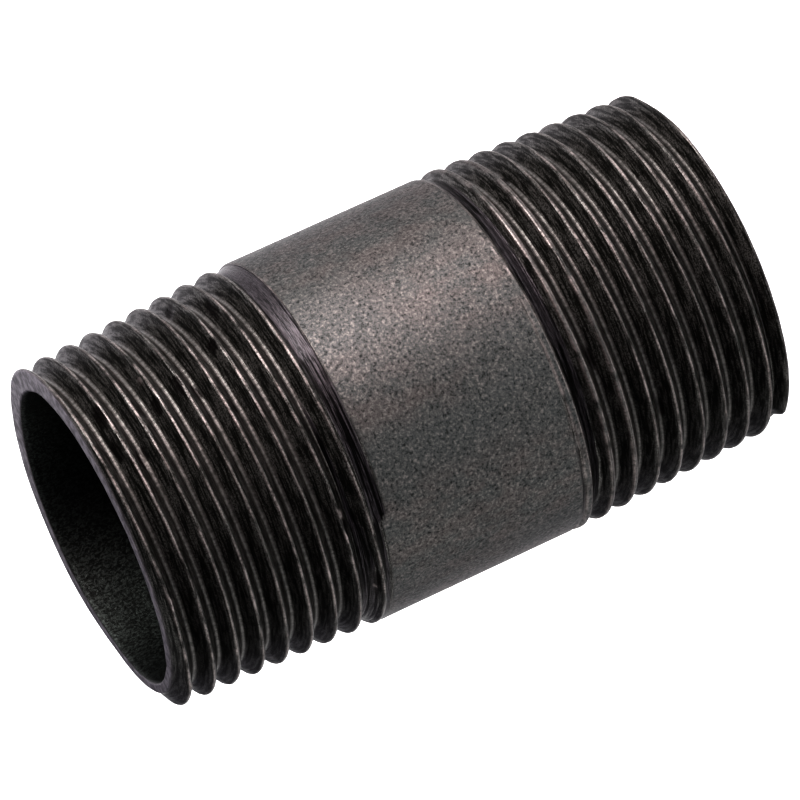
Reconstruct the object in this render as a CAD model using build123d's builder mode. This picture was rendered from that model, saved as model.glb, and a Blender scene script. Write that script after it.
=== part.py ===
from build123d import *
import math
import os

# Barrel nipple: a short steel pipe with a right-hand taper thread cut on each
# end and a plain barrel left between them. It stands on one end.
# Millimetres, +Z along the bore. Origin: on the axis, in the lower end face.

# ---- driving dimensions -------------------------------------------------
length = 60.0            # overall, end face to end face
tube_od = 33.7           # outside diameter of the pipe and of the plain barrel
bore_d = 27.3            # pipe bore, 3.2 wall
bore_edge = 0.15         # deburred inner edge of each mouth
end_chamfer = 0.35       # broken outer edge of each end

# 1 inch pipe thread: 11 per inch, 55 degree form, 1 in 16 taper on diameter
pitch = 25.4 / 11
taper = 1 / 32                      # radius gained per unit of length
gauge_d = 33.249                    # major diameter in the gauge plane
gauge_length = 10.4                 # end face to gauge plane
half_angle = 27.5
depth = pitch * 0.640327            # crest to root
root_r = pitch * 0.137329           # rounding at the root
full_thread = 16.0                  # the run-out starts at the last whole turn before this
run_out_turns = 2                   # the groove climbs out over these turns
clear = 0.25                        # how far the cutting section reaches past the crest

# height, on the azimuth of +X, that one root line of each thread passes through
root_height_low = 18.993 + pitch / 2
root_height_high = 57.647 + pitch / 2

# ---- worked out from them ----------------------------------------------
tube_r = tube_od / 2
bore_r = bore_d / 2
end_r = gauge_d / 2 - gauge_length * taper          # crest radius at an end face
cone_length = (tube_r - end_r) / taper              # where the taper meets the pipe
half = math.radians(half_angle)


def root_at(s):
    """Radius of the root line, s from the end face."""
    return gauge_d / 2 + (s - gauge_length) * taper - depth


def thread_groove(root_height):
    """The space one thread is cut from, for the end whose face is z = 0.

    The path is the root line, one turn after another: up the taper, then
    climbing out of the pipe. The section is the 55 degree vee with its
    rounded root, standing in the plane of the axis.
    """
    z = root_height - math.ceil((root_height + 1.2) / pitch) * pitch
    r = root_at(z)
    centre = r + root_r                     # of the root's rounding
    tx = centre - root_r * math.sin(half)   # where a flank leaves it
    tz = root_r * math.cos(half)
    top = r + depth + clear
    w = tz + (top - tx) * math.tan(half)
    with BuildSketch(Plane.XZ) as vee:
        with BuildLine():
            Polyline((tx, z - tz), (top, z - w), (top, z + w), (tx, z + tz))
            ThreePointArc((tx, z + tz), (r, z), (tx, z - tz))
        make_face()
    turns = math.floor((full_thread - z) / pitch)
    climb = (tube_r + 0.05 - root_at(z + turns * pitch)) / (run_out_turns * pitch)
    one_turn = []
    for k in range(turns + run_out_turns):
        slope = taper if k < turns else climb
        cone = math.atan(slope)
        one_turn.append(Helix(pitch=pitch / math.cos(cone), height=pitch, radius=r,
                              center=(0, 0, z), cone_angle=math.degrees(cone)))
        z, r = z + pitch, r + pitch * slope
    with BuildPart() as groove:
        sweep(sections=vee.sketch, path=Wire(one_turn), is_frenet=True)
    return groove.part


groove_low = thread_groove(root_height_low)
# the upper end is the same thread turned end for end, which keeps it right-handed
groove_high = thread_groove(length - root_height_high).rotate(Axis.X, 180).translate((0, 0, length))

with BuildPart() as nipple_body:
    # wall: bore, faced ends, thread cones and plain barrel
    with BuildSketch(Plane.XZ):
        with BuildLine():
            Polyline(
                (bore_r, bore_edge),
                (bore_r + bore_edge, 0),
                (end_r - end_chamfer, 0),
                (end_r + end_chamfer * taper, end_chamfer),
                (tube_r, cone_length),
                (tube_r, length - cone_length),
                (end_r + end_chamfer * taper, length - end_chamfer),
                (end_r - end_chamfer, length),
                (bore_r + bore_edge, length),
                (bore_r, length - bore_edge),
                (bore_r, bore_edge),
            )
        make_face()
    revolve(axis=Axis.Z)
    # both threads
    whole = nipple_body.part.volume
    add(groove_low, mode=Mode.SUBTRACT)
    after_low = nipple_body.part.volume
    add(groove_high, mode=Mode.SUBTRACT)
    after_high = nipple_body.part.volume

assert whole - after_low > 1000 and after_low - after_high > 1000, "a thread was not cut"

os.makedirs("parts", exist_ok=True)
nipple_body.part.label = "nipple_body"
export_step(nipple_body.part, "parts/nipple_body.step")
print("valid", nipple_body.part.is_valid, "solids", len(nipple_body.part.solids()),
      "faces", len(nipple_body.part.faces()), "volume", round(nipple_body.part.volume, 1),
      "cut", round(whole - after_low, 1), round(after_low - after_high, 1))
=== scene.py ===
import math

import bpy
import numpy as np
from mathutils import Matrix, Vector


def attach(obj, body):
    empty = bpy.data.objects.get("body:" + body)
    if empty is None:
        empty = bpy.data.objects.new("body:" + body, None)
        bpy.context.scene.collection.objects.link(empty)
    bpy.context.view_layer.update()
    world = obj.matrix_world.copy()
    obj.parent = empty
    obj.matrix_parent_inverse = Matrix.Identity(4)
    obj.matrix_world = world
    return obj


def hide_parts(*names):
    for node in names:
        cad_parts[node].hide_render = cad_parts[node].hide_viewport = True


# Barrel nipple, standing on its lower end. Lengths below are millimetres in
# the frame's axes and become metres when the mesh and the lights are made.

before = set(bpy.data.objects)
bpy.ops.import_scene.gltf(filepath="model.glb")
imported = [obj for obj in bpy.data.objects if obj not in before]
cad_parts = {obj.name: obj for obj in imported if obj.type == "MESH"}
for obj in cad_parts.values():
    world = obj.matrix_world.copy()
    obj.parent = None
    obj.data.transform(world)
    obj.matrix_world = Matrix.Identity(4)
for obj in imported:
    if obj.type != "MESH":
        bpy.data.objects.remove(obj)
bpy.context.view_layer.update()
scene = bpy.context.scene

# ------------------------------------------------------------- sizes
LENGTH = 60.0
PIPE_R = 16.85
BORE_R = 13.65
PITCH = 25.4 / 11
HALF = math.radians(27.5)
CREST_R = 0.25                     # rounding of a crest, a little worn off
ROOT_R = 0.137329 * PITCH
SHARP = 0.960491 * PITCH
DEPTH = SHARP - CREST_R * (1 / math.sin(HALF) - 1) - ROOT_R * (1 / math.sin(HALF) - 1)
HIGH_CREST = 57.6466               # a crest of each thread, where it crosses +X
LOW_CREST = 19.035
HIGH_EDGE = 38.55                  # the barrel's plain rows lie between these
LOW_EDGE = 21.75
END = 0.20                         # the ends' outer edge break

# ------------------------------------------------------------- noise
M32 = np.uint64(0xFFFFFFFF)


def lattice(i, j, k, seed):
    """A fixed random number from 0 to 1 for each whole point."""
    i, j, k = (a.astype(np.int64).astype(np.uint64) & M32 for a in (i, j, k))
    n = (i * np.uint64(374761393) + j * np.uint64(668265263) + k * np.uint64(2147483647) + np.uint64(seed * 974711)) & M32
    n = ((n ^ (n >> np.uint64(13))) * np.uint64(1274126177)) & M32
    n = ((n ^ (n >> np.uint64(15))) * np.uint64(2246822519)) & M32
    return ((n ^ (n >> np.uint64(16))) & np.uint64(0xFFFFFF)).astype(float) / 0xFFFFFF


def noise(x, y, z, seed):
    """Smooth value noise, -1 to 1, one cell to a unit."""
    x, y, z = np.broadcast_arrays(x, y, z)
    xi, yi, zi = np.floor(x), np.floor(y), np.floor(z)
    fx, fy, fz = x - xi, y - yi, z - zi
    fx, fy, fz = (f * f * (3 - 2 * f) for f in (fx, fy, fz))
    out = 0
    for a in (0, 1):
        for b in (0, 1):
            for c in (0, 1):
                out = out + (fx if a else 1 - fx) * (fy if b else 1 - fy) * (fz if c else 1 - fz) * lattice(xi + a, yi + b, zi + c, seed)
    return out * 2 - 1


def around(psi, z, along, across, seed):
    """Noise on the tube's skin: along is its wavelength round the tube, across its wavelength up the tube."""
    return noise(PIPE_R * np.cos(psi) / along, PIPE_R * np.sin(psi) / along, z / across, seed)


def step(a, b, x):
    t = np.clip((x - a) / (b - a), 0, 1)
    return t * t * (3 - 2 * t)


def soft_min(a, b, k):
    h = np.clip(0.5 + 0.5 * (b - a) / k, 0, 1)
    return b + (a - b) * h - k * h * (1 - h)


def soft_max(a, b, k):
    return -soft_min(-a, -b, k)


def turn(psi, t):
    """Signed angle in degrees from azimuth -t to psi."""
    return (np.degrees(psi) + t + 180) % 360 - 180


# ------------------------------------------------------------- thread form
def vee(x):
    """Depth under the crest, x from the crest line across the thread."""
    x = np.abs(x)
    y0 = CREST_R * (1 / math.sin(HALF) - 1)
    crest = CREST_R / math.sin(HALF) - np.sqrt(np.maximum(CREST_R ** 2 - np.minimum(x, CREST_R) ** 2, 0))
    flank = x / math.tan(HALF)
    back = np.clip(PITCH / 2 - x, 0, ROOT_R)
    root = SHARP - ROOT_R / math.sin(HALF) + np.sqrt(np.maximum(ROOT_R ** 2 - back ** 2, 0))
    y = np.where(x < CREST_R * math.cos(HALF), crest, np.where(PITCH / 2 - x < ROOT_R * math.cos(HALF), root, flank))
    return y - y0


def unvee(d):
    """Half width of the flat left where a crest is cut off d under its top."""
    return np.where(d > 0, np.minimum((d + CREST_R * (1 / math.sin(HALF) - 1)) * math.tan(HALF), PITCH / 2), 0)


# marks: azimuth t (degrees, from +X towards -Y), height, half length round
# the tube, half width up the tube, depth (minus stands proud), seed
TORN = [
    (55, 57.70, 1.5, 0.38, 0.15), (68, 57.85, 1.3, 0.32, 0.13), (58, 54.50, 1.0, 0.40, 0.17), (60, 53.10, 1.2, 0.35, 0.16),
    (57, 50.60, 1.3, 0.35, 0.15), (60, 49.30, 1.2, 0.30, 0.15), (49, 46.20, 0.8, 0.40, 0.18), (70, 47.30, 1.0, 0.28, 0.11),
    (74, 56.40, 1.1, 0.30, 0.13), (72, 55.70, 1.0, 0.30, 0.13), (41, 49.80, 1.0, 0.30, 0.11), (15, 50.00, 1.5, 0.50, 0.20),
    (21, 47.70, 1.2, 0.40, 0.15), (18, 46.60, 1.0, 0.40, 0.15), (25, 52.40, 1.2, 0.35, 0.12), (33, 44.10, 1.6, 0.30, 0.12),
    (118, 42.75, 1.5, 0.35, 0.13), (146, 41.00, 2.0, 0.35, 0.12), (30, 15.40, 1.2, 0.35, 0.12), (66, 13.10, 0.9, 0.28, 0.10),
    (26, 9.20, 1.4, 0.35, 0.12), (84, 6.70, 0.8, 0.25, 0.10), (132, 12.20, 1.5, 0.30, 0.10), (104, 17.20, 1.4, 0.35, 0.12),
    (205, 52.00, 1.8, 0.35, 0.14), (238, 47.20, 1.4, 0.35, 0.14), (262, 55.10, 1.6, 0.35, 0.13), (301, 50.30, 1.7, 0.35, 0.14),
    (330, 44.60, 1.5, 0.35, 0.14), (214, 12.60, 1.6, 0.35, 0.13), (249, 7.30, 1.5, 0.35, 0.13), (287, 15.00, 1.6, 0.35, 0.14),
    (318, 10.20, 1.4, 0.35, 0.13), (346, 5.00, 1.5, 0.35, 0.13), (226, 42.10, 1.8, 0.35, 0.12), (275, 19.30, 1.8, 0.35, 0.12),
]
BURRS = [
    (118.5, 59.05, 0.75, 0.20, -0.16), (121.8, 43.05, 0.50, 0.17, -0.15), (114.5, 42.75, 0.55, 0.15, -0.12), (148, 41.00, 1.0, 0.12, -0.12),
    (148, 54.55, 0.45, 0.16, -0.12), (49.5, 53.05, 0.50, 0.12, -0.10), (62, 20.95, 0.6, 0.08, -0.07), (56, 21.20, 0.5, 0.08, -0.06), (69, 20.80, 0.5, 0.08, -0.08),
    (232, 44.40, 0.7, 0.16, -0.12), (290, 17.60, 0.7, 0.16, -0.12), (170, 21.10, 1.2, 0.14, -0.09), (10, 20.80, 1.0, 0.14, -0.09),
    (262, 39.60, 1.2, 0.14, -0.09), (328, 39.50, 1.0, 0.14, -0.09), (200, 20.90, 0.8, 0.14, -0.10), (158, 58.70, 0.7, 0.14, -0.10),
]


def marks(psi, z, rows):
    out = 0
    for n, (t, height, length, width, depth) in enumerate(rows):
        u = turn(psi, t) * math.pi / 180 * PIPE_R
        wob = 0.35 * noise(u / 0.55, z / 0.30, 0 * u, 70 + n)
        q = (u / length) ** 2 + ((z - height) / width) ** 2 + wob
        out = out + depth * (1 - step(0.25, 1.15, q))
    return out


def out_of_square(psi, z):
    """How far the end faces, which weren't cut quite square, stand above their nominal heights."""
    t = turn(psi, 280)
    upper = 0.22 * step(-56, -14, -t) * (1 - step(8, 62, -t)) * step(58.6, 60.0, z)
    lower = 0.10 * step(45, 75, np.abs(turn(psi, 135))) + 0.30 * np.exp(-(turn(psi, 24) / 17) ** 2)
    return upper + lower * step(1.6, 0.0, z)


def skin(psi, z, end):
    """Radius of the outside at azimuth psi and height z, with what it shows there.

    Returns radius, the crests' bare bright metal (held back on the crests facing +X, as painted shade), cut
    (machined, not scale), land (the flat floor of the run-out), hollow (how deep in the groove) and a darker colour
    over the torn pits.
    """
    z = z + out_of_square(psi, z)
    line, s, e = (HIGH_CREST, LENGTH - z, 16.04 + 0.0429 * (LENGTH - z)) if end == "high" else (LOW_CREST, z, 16.13 + 0.0460 * z)
    t = -np.degrees(psi)
    # the lead wanders a few hundredths, and the die has torn the crests here and there
    wander = 0.030 * around(psi, z, 6, 30, 3) + 0.012 * around(psi, z, 1.3, 2.3, 4)
    w = (z - line - PITCH * psi / (2 * math.pi)) / PITCH
    w = (w + 0.5) % 1 - 0.5
    x = w * PITCH + wander * (1 - np.abs(2 * w)) ** 0.5
    crest = 0.020 * around(psi, z, 3.2, 2.3, 5) + 0.020 * around(psi, z, 0.9, 2.3, 6) + 0.012 * around(psi, z, 0.45, 1.2, 7)
    d = vee(x)
    top = np.exp(-(x / 0.30) ** 2)
    # the run-out: the die's throat cuts the last groove with a flat floor that
    # climbs out of the pipe, and leaves its own fine rings in it
    if end == "high":
        e = e - 0.19 * np.cos(np.radians(t)) * (1.2 - s / 15).clip(0, 1)
        patch = step(119.5, 122.5, t % 360) * (1 - step(178, 215, t % 360))
        floor = PIPE_R - 0.50 - 0.60 * np.maximum(19.7 - s, 0) + 0.40 * np.maximum(s - 19.7, 0) + 0.30 * patch
    else:
        floor = PIPE_R - 0.62 - 0.60 * np.maximum(19.75 - s, 0) + 0.46 * np.maximum(s - 19.75, 0)
    rings = 0.045 * around(psi, z, 14, 0.19, 11) * (1 - step(0, 0.5, floor - PIPE_R))
    floor = floor + 0.05 * around(psi, z, 9, 90, 9) + rings
    cut = e - d - np.abs(crest) * top * 1.3 + 0.012 * around(psi, z, 2.4, 0.33, 8) * (1 - top)
    land = step(0.0, 0.08, floor - (e - d)) * step(0.0, 0.12, PIPE_R - floor)
    # rubbed smooth on one side, ringed on the rest
    centre, half = (12, 50) if end == "high" else (70, 20)
    ridged = step(half, half + 9, np.abs(turn(psi, centre)))
    if end == "low":
        ridged = np.maximum(ridged, step(20.05, 20.30, z))
    land = land * (1 - 0.5 * ridged)
    cut = soft_max(cut, floor, 0.05)
    if end == "low":
        # the last crest is turned over along the edge for part of the way round
        lip = e - vee(np.minimum(np.abs(z - 0.16), 1.1)) - 0.9 * step(48, 60, np.abs(turn(psi, 112)))
        cut = soft_max(cut, np.where(s < 1.2, lip, 0), 0.05)
    proud = (0.10 if end == "low" else 0.05) * step(16.2, 17.6, s) * (1 - step(19.6, 20.9, s))
    pipe = PIPE_R + proud + 0.006 * around(psi, z, 5, 6, 12)
    over = step(-0.03, 0.05, cut - pipe)
    r = soft_min(cut, pipe, 0.035)
    # bare metal on the crests, and on both edges of a crest the pipe has cut flat
    edge = unvee(e - pipe)
    wear = np.exp(-((np.abs(x) - edge) / 0.085) ** 2)
    wear = wear * (0.62 + 0.38 * around(psi, z, 2.6, 2.3, 13)) * step(-0.75, 0.35, around(psi, z, 0.75, 0.9, 14))
    brink = np.exp(-((cut - pipe) / 0.03) ** 2) * step(17.5, 19.0, s)
    wear = np.maximum(wear, 0.5 * brink * step(0.1, 0.6, around(psi, z, 0.7, 0.8, 15)))
    wear = wear * (1 - step(-0.06, 0.02, floor - PIPE_R)) * (1 - 0.85 * step(0, 0.3, land))
    # painted shade: the crests facing +X, within about 22 degrees, keep only 0.42 of their bare metal, darkening that
    # side of the thread
    wear = wear * (0.42 + 0.58 * step(22, 44, np.abs(turn(psi, -2))))
    torn = marks(psi, z, TORN)
    burr = marks(psi, z, BURRS)
    if end == "low":
        # a thin scratch that the die scribed in the barrel as it stopped
        off = (z - 21.41 + (t % 360 - 57.5) * 0.0099) / 0.085
        scribe = np.exp(-off ** 2) * (1 - step(20, 26, np.abs(turn(psi, 79)))) * step(-0.7, 0.0, around(psi, z, 1.1, 9, 23))
        burr = burr - 0.035 * scribe
    r = r - torn - burr
    wear = np.clip(wear * (1 - step(0.01, 0.06, torn)) + step(0.02, 0.10, -burr) * 0.8, 0, 1)
    hollow = np.clip((np.minimum(e, pipe) - r) / DEPTH, 0, 1)
    # a darker colour over the torn pits
    dirt = step(0.02, 0.10, torn)
    return r, wear, np.clip(1 - over, 0, 1), land, hollow, dirt


# ------------------------------------------------------------- mesh
# Columns are closer together on the side the thread's marks are clearest.
FRONT, BACK = 172, 92
psis = np.concatenate([
    np.linspace(math.radians(-192), math.radians(12), FRONT, endpoint=False),
    np.linspace(math.radians(12), math.radians(168), BACK, endpoint=False),
])
N = len(psis)
FRACTIONS = np.array([0, .045, .09, .145, .25, .355, .41, .455, .5, .545, .59, .645, .75, .855, .91, .955])
M = len(FRACTIONS)

verts, faces = [], []
data = {"wear": [], "cut": [], "land": [], "hollow": [], "dirt": [], "rim": [], "bore": []}
count = 0


def add_points(psi, r, z, **masks):
    """Adds one vertex for each entry and returns their numbers."""
    global count
    psi, r, z = (np.asarray(a, float).ravel() for a in np.broadcast_arrays(psi, r, z))
    verts.append(np.stack([r * np.cos(psi), r * np.sin(psi), z], 1))
    for name in data:
        data[name].append(np.broadcast_to(np.asarray(masks.get(name, 0.0), float).ravel(), psi.shape).copy())
    count += len(psi)
    return np.arange(count - len(psi), count)


def add_faces(a, b, c, d):
    """Quads a b c d, one for each entry; a corner met twice makes a triangle and two make nothing."""
    for q in np.stack([np.ravel(v) for v in (a, b, c, d)], 1).tolist():
        f = [v for k, v in enumerate(q) if v != q[k - 1]]
        if len(f) == 4 and (f[0] == f[2] or f[1] == f[3]):
            continue
        if len(f) > 2:
            faces.append(f)


def ring(r, z, **masks):
    return add_points(psis, r, z, **masks)


def join(lower, upper):
    """Faces between two rings; seen from outside the tube, upper is above lower."""
    add_faces(lower, np.roll(lower, -1), np.roll(upper, -1), upper)


def threaded(lo, hi, line, end):
    """The skin from z = lo to z = hi on a grid that follows the thread. Returns its lowest and highest rings."""
    first = math.floor((lo - line) / PITCH) - 3
    last = math.ceil((hi - line) / PITCH) + 3
    rows = (np.arange(first, last)[:, None] + FRACTIONS[None, :]).ravel() * PITCH + line
    # the rows wander by a fraction of a pitch, so that they cross a straight scratch at no fixed step
    z = rows[:, None] + PITCH * psis[None, :] / (2 * math.pi)
    psi = np.broadcast_to(psis, z.shape)
    snap = 0.045
    low_side, high_side = z < lo + snap, z > hi - snap
    inside = ~(low_side | high_side)
    rings = []
    for height in (lo, hi):
        r, wear, cut, land, hollow, dirt = skin(psis, np.full(N, height), end)
        rings.append(ring(r, height, wear=wear, cut=cut, land=land, hollow=hollow, dirt=dirt))
    r, wear, cut, land, hollow, dirt = skin(psi[inside], z[inside], end)
    number = np.where(low_side, rings[0][None, :], rings[1][None, :])
    number[inside] = add_points(psi[inside], r, z[inside], wear=wear, cut=cut, land=land, hollow=hollow, dirt=dirt)
    # one turn on, a column meets the row M above it
    wrapped = np.concatenate([number[M:, :1], np.full((M, 1), -1)], 0)
    right = np.concatenate([number[:, 1:], wrapped], 1)
    rows_kept = len(number) - M - 1
    add_faces(number[:rows_kept], right[:rows_kept], right[1:rows_kept + 1], number[1:rows_kept + 1])
    return rings


low_rings = threaded(END, LOW_EDGE, LOW_CREST, "low")
high_rings = threaded(HIGH_EDGE, LENGTH - END, HIGH_CREST, "high")

# barrel: rolled pipe, not quite true
previous = low_rings[1]
for z in np.linspace(LOW_EDGE, HIGH_EDGE, 20)[1:-1]:
    ease = step(0, 1.5, z - LOW_EDGE) * step(0, 1.5, HIGH_EDGE - z)
    here = ring(PIPE_R + 0.006 * around(psis, z, 5, 6, 12) - ease * 0.008 * np.abs(around(psis, z, 2.2, 2.2, 16)), z)
    join(previous, here)
    previous = here
join(previous, high_rings[0])


def face_rings(edge_r, z_edge, z_face, into):
    """Rings of an end face, from the thread's last ring to just inside the bore."""
    sign = 1 if z_face > z_edge else -1
    r0 = edge_r - 0.10 - 0.10 * np.abs(around(psis, z_face, 1.2, 9, 17))
    nick = 0.06 + 0.13 * step(0.25, 0.9, around(psis, z_face, 1.1, 9, 18)) + 0.05 * around(psis, z_face, 2.7, 9, 19)
    inner = BORE_R + 0.10 + nick
    out = [ring(edge_r - 0.03, z_edge + sign * (abs(z_face - z_edge) * 0.62), rim=0.3, cut=1, wear=0.05),
           ring(r0, z_face, rim=1, cut=1)]
    for k in (0.10, 0.24, 0.38, 0.52, 0.66, 0.80, 0.92):
        wave = 0.006 * np.cos(k * 40 + psis * 2) + 0.004 * around(psis, z_face, 3, 9, 20)
        out.append(ring(r0 + (inner - r0) * k, z_face - sign * np.abs(wave), rim=1, cut=1))
    out.append(ring(inner, z_face - sign * 0.012, rim=1, cut=1, wear=0.05))
    out.append(ring(BORE_R + 0.035 + nick * 0.25, z_face - sign * (0.10 + 0.35 * nick), rim=0.0, bore=1.0, cut=1))
    return out


upper = face_rings(skin(psis, np.full(N, LENGTH - END / 2), "high")[0], LENGTH - END, LENGTH, -1)
lower = face_rings(skin(psis, np.full(N, END / 2), "low")[0], END, 0.0, 1)
previous = high_rings[1]
for here in upper:
    join(previous, here)
    previous = here
# bore: a faint waviness from rolling, with its ends opened a little
for z in np.linspace(LENGTH - 0.55, 0.55, 26):
    here = ring(BORE_R + 0.010 * around(psis, z, 4, 9, 21) + 0.012 * np.abs(around(psis, z, 1.6, 2.4, 22)) - 0.006, z, bore=1)
    join(previous, here)
    previous = here
for here in lower[::-1]:
    join(previous, here)
    previous = here
join(previous, low_rings[0])

points = np.concatenate(verts)
points[:, 2] += out_of_square(np.arctan2(points[:, 1], points[:, 0]), points[:, 2])
points *= 0.001
mesh = bpy.data.meshes.new("nipple_skin")
mesh.from_pydata(points.tolist(), [], faces)
mesh.update()
for name, parts in data.items():
    layer = mesh.attributes.new("m_" + name, "FLOAT", "POINT")
    layer.data.foreach_set("value", np.concatenate(parts).astype(np.float32))
mesh.polygons.foreach_set("use_smooth", np.ones(len(mesh.polygons), bool))
nipple = bpy.data.objects.new("nipple_skin", mesh)
scene.collection.objects.link(nipple)
triangles = sum(len(f) - 2 for f in faces)
print("vertices", len(points), "faces", len(faces), "triangles", triangles)
assert triangles < 199000


# ------------------------------------------------------------- material
class Tree:
    def __init__(self, name):
        self.material = bpy.data.materials.new(name)
        self.material.use_nodes = True
        self.nodes, self.links = self.material.node_tree.nodes, self.material.node_tree.links
        self.nodes.clear()
        self.out = self.nodes.new("ShaderNodeOutputMaterial")

    def put(self, socket, value):
        if hasattr(value, "is_output") and not isinstance(value, (int, float, tuple)):
            self.links.new(value, socket)
        elif isinstance(value, (tuple, list)) and len(value) == 3 and socket.type == "RGBA":
            socket.default_value = (*value, 1)
        else:
            socket.default_value = value

    def node(self, kind, output=0, props=(), **inputs):
        n = self.nodes.new(kind)
        for k, v in dict(props).items():
            setattr(n, k, v)
        for k, v in inputs.items():
            self.put(n.inputs[k.replace("_", " ")], v)
        return n.outputs[output]

    def math(self, op, a, b=0.0, clamp=False):
        n = self.nodes.new("ShaderNodeMath")
        n.operation, n.use_clamp = op, clamp
        self.put(n.inputs[0], a)
        self.put(n.inputs[1], b)
        return n.outputs[0]

    def scale(self, v, xyz):
        n = self.nodes.new("ShaderNodeVectorMath")
        n.operation = "MULTIPLY"
        self.put(n.inputs[0], v)
        n.inputs[1].default_value = xyz
        return n.outputs[0]

    def noise(self, v, scale, detail=2.0, rough=0.5, warp=0.0):
        n = self.nodes.new("ShaderNodeTexNoise")
        self.put(n.inputs["Vector"], v)
        n.inputs["Scale"].default_value = scale
        n.inputs["Detail"].default_value = detail
        n.inputs["Roughness"].default_value = rough
        n.inputs["Distortion"].default_value = warp
        return n.outputs[0]

    def ramp(self, x, a, b, lo=0.0, hi=1.0):
        n = self.nodes.new("ShaderNodeMapRange")
        n.interpolation_type = "SMOOTHSTEP"
        for k, v in zip(("Value", "From Min", "From Max", "To Min", "To Max"), (x, a, b, lo, hi)):
            self.put(n.inputs[k], v)
        return n.outputs[0]

    def mix(self, f, a, b):
        n = self.nodes.new("ShaderNodeMix")
        n.data_type = "RGBA"
        self.put(n.inputs[0], f)
        self.put(n.inputs[6], a)
        self.put(n.inputs[7], b)
        return n.outputs[2]

    def blend(self, f, a, b):
        """a where f is 0, b where f is 1, for numbers."""
        n = self.nodes.new("ShaderNodeMix")
        n.data_type = "FLOAT"
        self.put(n.inputs[0], f)
        self.put(n.inputs[2], a)
        self.put(n.inputs[3], b)
        return n.outputs[0]

    def mask(self, name):
        n = self.nodes.new("ShaderNodeAttribute")
        n.attribute_name = "m_" + name
        return n.outputs["Fac"]


m = Tree("black_steel")
here = m.node("ShaderNodeTexCoord", "Object")
mm = m.scale(here, (1000, 1000, 1000))
wear, cut, land, hollow, dirt, rim, bore = (m.mask(k) for k in ("wear", "cut", "land", "hollow", "dirt", "rim", "bore"))

# patterns, all in millimetres
speck = m.noise(mm, 3.6, 3.0, 0.72, 0.35)                        # mill scale grain
grain = m.noise(m.scale(mm, (1.0, 1.0, 0.55)), 11.0, 2.0, 0.6)
cloud = m.noise(m.scale(mm, (1.0, 1.0, 0.30)), 0.12, 3.0, 0.50)  # tint drifting over the pipe
cloud2 = m.noise(m.scale(mm, (1.0, 1.0, 0.6)), 0.55, 3.0, 0.6)
streak = m.noise(m.scale(mm, (0.42, 0.42, 9.0)), 1.0, 3.0, 0.6)  # drag marks of the die, round the tube
fine = m.noise(m.scale(mm, (1.1, 1.1, 20.0)), 1.0, 2.0, 0.6)
turned = m.noise(m.scale(mm, (0.16, 0.16, 4.6)), 1.0, 2.0, 0.6)   # rings in the floor of the run-out
bead = m.noise(m.scale(mm, (3.6, 3.6, 2.0)), 1.0, 2.0, 0.6)
worm = m.noise(m.scale(mm, (5.0, 5.0, 3.0)), 1.0, 3.0, 0.6, 0.6)

speck_hi = m.ramp(speck, 0.48, 0.74)
speck_lo = m.ramp(speck, 0.49, 0.30)

# colour
scale_a = m.mix(m.ramp(cloud, 0.38, 0.62), (0.0485, 0.0525, 0.0525), (0.057, 0.0535, 0.0520))
scale_b = m.mix(m.ramp(cloud2, 0.35, 0.65), scale_a, (0.046, 0.049, 0.0485))
scale_c = m.mix(speck_hi, scale_b, (0.115, 0.108, 0.104))
scale_d = m.mix(speck_lo, scale_c, (0.015, 0.016, 0.016))
pepper = m.ramp(m.noise(mm, 6.5, 2.0, 0.7), 0.40, 0.58)
cut_a = m.mix(m.ramp(streak, 0.42, 0.60), (0.013, 0.0135, 0.0125), (0.083, 0.083, 0.080))
cut_a = m.mix(pepper, m.mix(0.80, cut_a, (0.003, 0.003, 0.002)), cut_a)
# painted highlight: the bottom of each groove gets a lighter colour, standing in for the highlight line along the
# rounded root
cut_b = m.mix(m.ramp(hollow, 0.88, 0.985), cut_a, m.mix(m.ramp(bead, 0.35, 0.65), (0.038, 0.038, 0.036), (0.080, 0.078, 0.075)))
rim_c = m.mix(m.ramp(fine, 0.35, 0.7), (0.10, 0.094, 0.106), (0.26, 0.245, 0.27))
skin_c = m.mix(cut, scale_d, cut_b)
ringed = m.math("SUBTRACT", 1.0, m.ramp(land, 0.55, 0.9))
floor_c = m.mix(m.math("MULTIPLY", ringed, m.ramp(turned, 0.56, 0.46)), m.mix(m.ramp(fine, 0.40, 0.60), (0.014, 0.0135, 0.0145), (0.040, 0.037, 0.041)), (0.003, 0.003, 0.003))
skin_c = m.mix(m.ramp(land, 0.05, 0.35), skin_c, floor_c)
skin_c = m.mix(rim, skin_c, rim_c)
skin_c = m.mix(bore, skin_c, m.mix(m.ramp(worm, 0.42, 0.62), (0.010, 0.011, 0.0105), (0.034, 0.039, 0.037)))
# darker over the torn pits
skin_c = m.mix(m.math("MULTIPLY", dirt, 0.8), skin_c, (0.004, 0.003, 0.003))
# bright bare metal on the crests, held back on the crests facing +X as painted shade
bare_and_shade = m.math("MULTIPLY", m.math("MULTIPLY", wear, m.ramp(bead, 0.30, 0.62, 0.25, 1.0)), 1.0, True)
skin_c = m.mix(bare_and_shade, skin_c, (0.23, 0.205, 0.200))

# roughness
rough = m.blend(cut, m.ramp(speck, 0.3, 0.7, 0.52, 0.36), m.ramp(streak, 0.3, 0.7, 0.44, 0.32))
rough = m.blend(m.ramp(land, 0.05, 0.35), rough, 0.38)
rough = m.blend(rim, rough, m.ramp(fine, 0.3, 0.7, 0.44, 0.34))
rough = m.blend(bore, rough, 0.5)
rough = m.blend(bare_and_shade, rough, 0.38)

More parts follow.
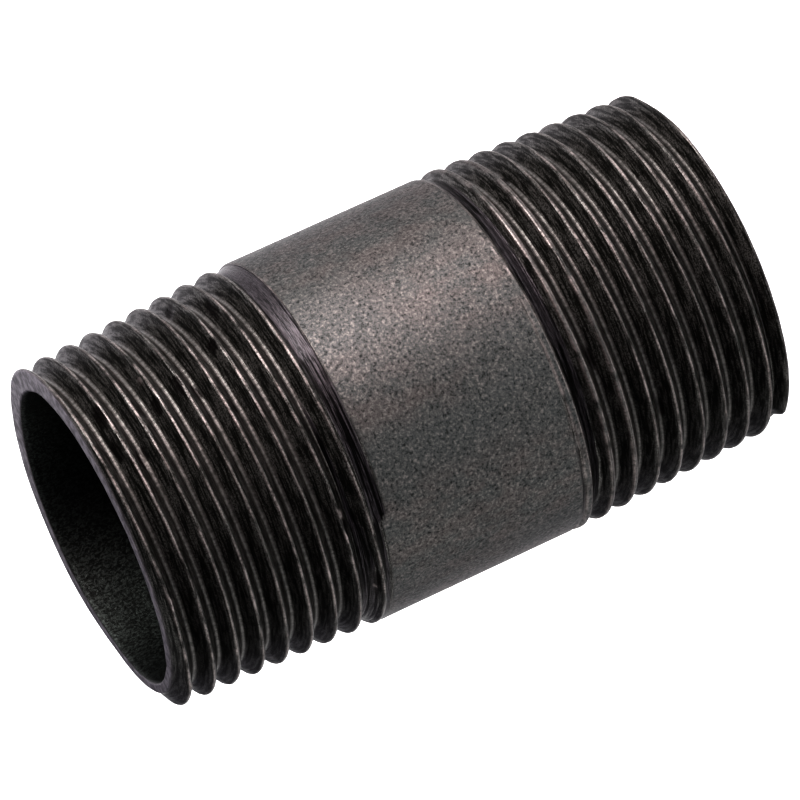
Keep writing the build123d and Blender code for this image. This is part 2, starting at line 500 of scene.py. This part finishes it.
# relief, in millimetres
h_scale = m.math("MULTIPLY", m.math("ADD", m.math("MULTIPLY", speck, 0.030), m.math("MULTIPLY", grain, 0.010)), m.math("SUBTRACT", 1.0, cut, True))
h_cut = m.math("MULTIPLY", m.math("ADD", m.math("MULTIPLY", streak, 0.030), m.math("ADD", m.math("MULTIPLY", grain, 0.012), m.math("MULTIPLY", bead, 0.022))), cut)
h_rim = m.math("MULTIPLY", m.math("MULTIPLY", fine, 0.010), rim)
h_bore = m.math("MULTIPLY", m.math("MULTIPLY", worm, 0.05), bore)
h_rings = m.math("MULTIPLY", m.math("MULTIPLY", turned, 0.10), m.math("MULTIPLY", ringed, m.ramp(land, 0.05, 0.35)))
height = m.math("ADD", m.math("ADD", m.math("ADD", h_scale, h_cut), m.math("ADD", h_rim, h_bore)), h_rings)
bump = m.node("ShaderNodeBump", 0, {}, Strength=1.0, Distance=0.001, Height=height)

shader = m.node("ShaderNodeBsdfPrincipled", 0, {}, Base_Color=skin_c, Roughness=rough, Metallic=m.blend(m.math("MAXIMUM", bare_and_shade, m.math("SUBTRACT", 1.0, cut)), 0.62, 0.92), Specular_IOR_Level=0.2, Specular_Tint=(0.52, 0.51, 0.52), Normal=bump)
m.links.new(shader, m.out.inputs["Surface"])
mesh.materials.append(m.material)

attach(nipple, "root")
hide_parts("nipple_body")

# ------------------------------------------------------------- floor
floor_mesh = bpy.data.meshes.new("floor")
n = 24
xs = np.linspace(-3.0, 3.0, n + 1)
gx, gy = np.meshgrid(xs, xs, indexing="ij")
floor_mesh.from_pydata(
    np.stack([gx.ravel(), gy.ravel(), np.zeros(gx.size)], 1).tolist(), [],
    [(i * (n + 1) + j, (i + 1) * (n + 1) + j, (i + 1) * (n + 1) + j + 1, i * (n + 1) + j + 1) for i in range(n) for j in range(n)])
floor = bpy.data.objects.new("floor", floor_mesh)
scene.collection.objects.link(floor)
f = Tree("floor_paper")
paper = f.node("ShaderNodeBsdfPrincipled", 0, {}, Base_Color=(0.70, 0.70, 0.70), Roughness=0.9, Emission_Color=(1.0, 1.0, 1.0), Emission_Strength=1.0)
f.links.new(paper, f.out.inputs["Surface"])
floor_mesh.materials.append(f.material)

# ------------------------------------------------------------- light
world = bpy.data.worlds.new("studio")
world.use_nodes = True
scene.world = world
wn, wl = world.node_tree.nodes, world.node_tree.links
wn.clear()
wo = wn.new("ShaderNodeOutputWorld")
bg = wn.new("ShaderNodeBackground")
coord = wn.new("ShaderNodeTexCoord")
sep = wn.new("ShaderNodeSeparateXYZ")
wl.new(coord.outputs["Generated"], sep.inputs[0])
grade = wn.new("ShaderNodeValToRGB")
grade.color_ramp.elements[0].position, grade.color_ramp.elements[0].color = 0.0, (0.30, 0.29, 0.33, 1)
grade.color_ramp.elements[1].position, grade.color_ramp.elements[1].color = 0.9, (0.075, 0.075, 0.08, 1)
wl.new(sep.outputs["Z"], grade.inputs[0])
wl.new(grade.outputs[0], bg.inputs["Color"])
bg.inputs["Strength"].default_value = 1.0
wl.new(bg.outputs[0], wo.inputs["Surface"])


def softbox(name, azimuth, elevation, distance, width, height, radiance, colour, aim=(0, 0, 0.03)):
    """A soft panel facing the object; radiance is what a mirror would show."""
    a, e = math.radians(azimuth), math.radians(elevation)
    place = Vector(aim) + distance * Vector((math.cos(a) * math.cos(e), math.sin(a) * math.cos(e), math.sin(e)))
    light = bpy.data.lights.new(name, "AREA")
    light.shape, light.size, light.size_y = "RECTANGLE", width, height
    light.energy = radiance * math.pi * width * height
    light.color = colour
    o = bpy.data.objects.new(name, light)
    scene.collection.objects.link(o)
    o.location = place
    o.rotation_mode = "QUATERNION"
    o.rotation_quaternion = (Vector(aim) - place).to_track_quat("-Z", "Y")
    o.visible_camera = False
    return o


def panel(name, azimuth, distance, width, height, radiance, colour):
    """A soft panel standing on the floor, out of the picture, and facing the axis."""
    tilt = math.degrees(math.atan2(height / 2 - 0.03, distance))
    away = math.hypot(distance, height / 2 - 0.03)
    return softbox(name, azimuth, tilt, away, width, height, radiance, colour)


panel("key", -43, 0.14, 0.125, 0.12, 7.4, (1.0, 0.83, 0.825))
panel("side", 45, 0.16, 0.27, 0.12, 1.3, (1.0, 0.97, 1.0))
softbox("rake", -26, 25, 0.60, 0.22, 0.22, 20.0, (0.98, 1.0, 0.96))
softbox("high", 60, 45, 1.2, 0.9, 0.6, 0.8, (0.92, 0.95, 1.0))
softbox("back", 128, 46, 1.2, 0.7, 0.6, 0.8, (1.0, 1.0, 0.95))
panel("left", 168, 0.40, 0.55, 0.26, 1.5, (1.0, 0.98, 0.94))

# ------------------------------------------------------------- camera
camera_data = bpy.data.cameras.new("camera")
camera_data.sensor_width = 36
camera_data.lens = 253.65
camera_data.clip_start, camera_data.clip_end = 0.01, 20
camera = bpy.data.objects.new("camera", camera_data)
scene.collection.objects.link(camera)
camera.matrix_world = Matrix((
    (-0.416056, 0.909339, 0.0, -0.0002009),
    (-0.233576, -0.106870, -0.966448, -0.4752621),
    (-0.878829, -0.402096, 0.256864, 0.1563273),
    (0, 0, 0, 1)))
scene.camera = camera

scene.view_settings.view_transform = "Standard"
scene.view_settings.look = "High Contrast"
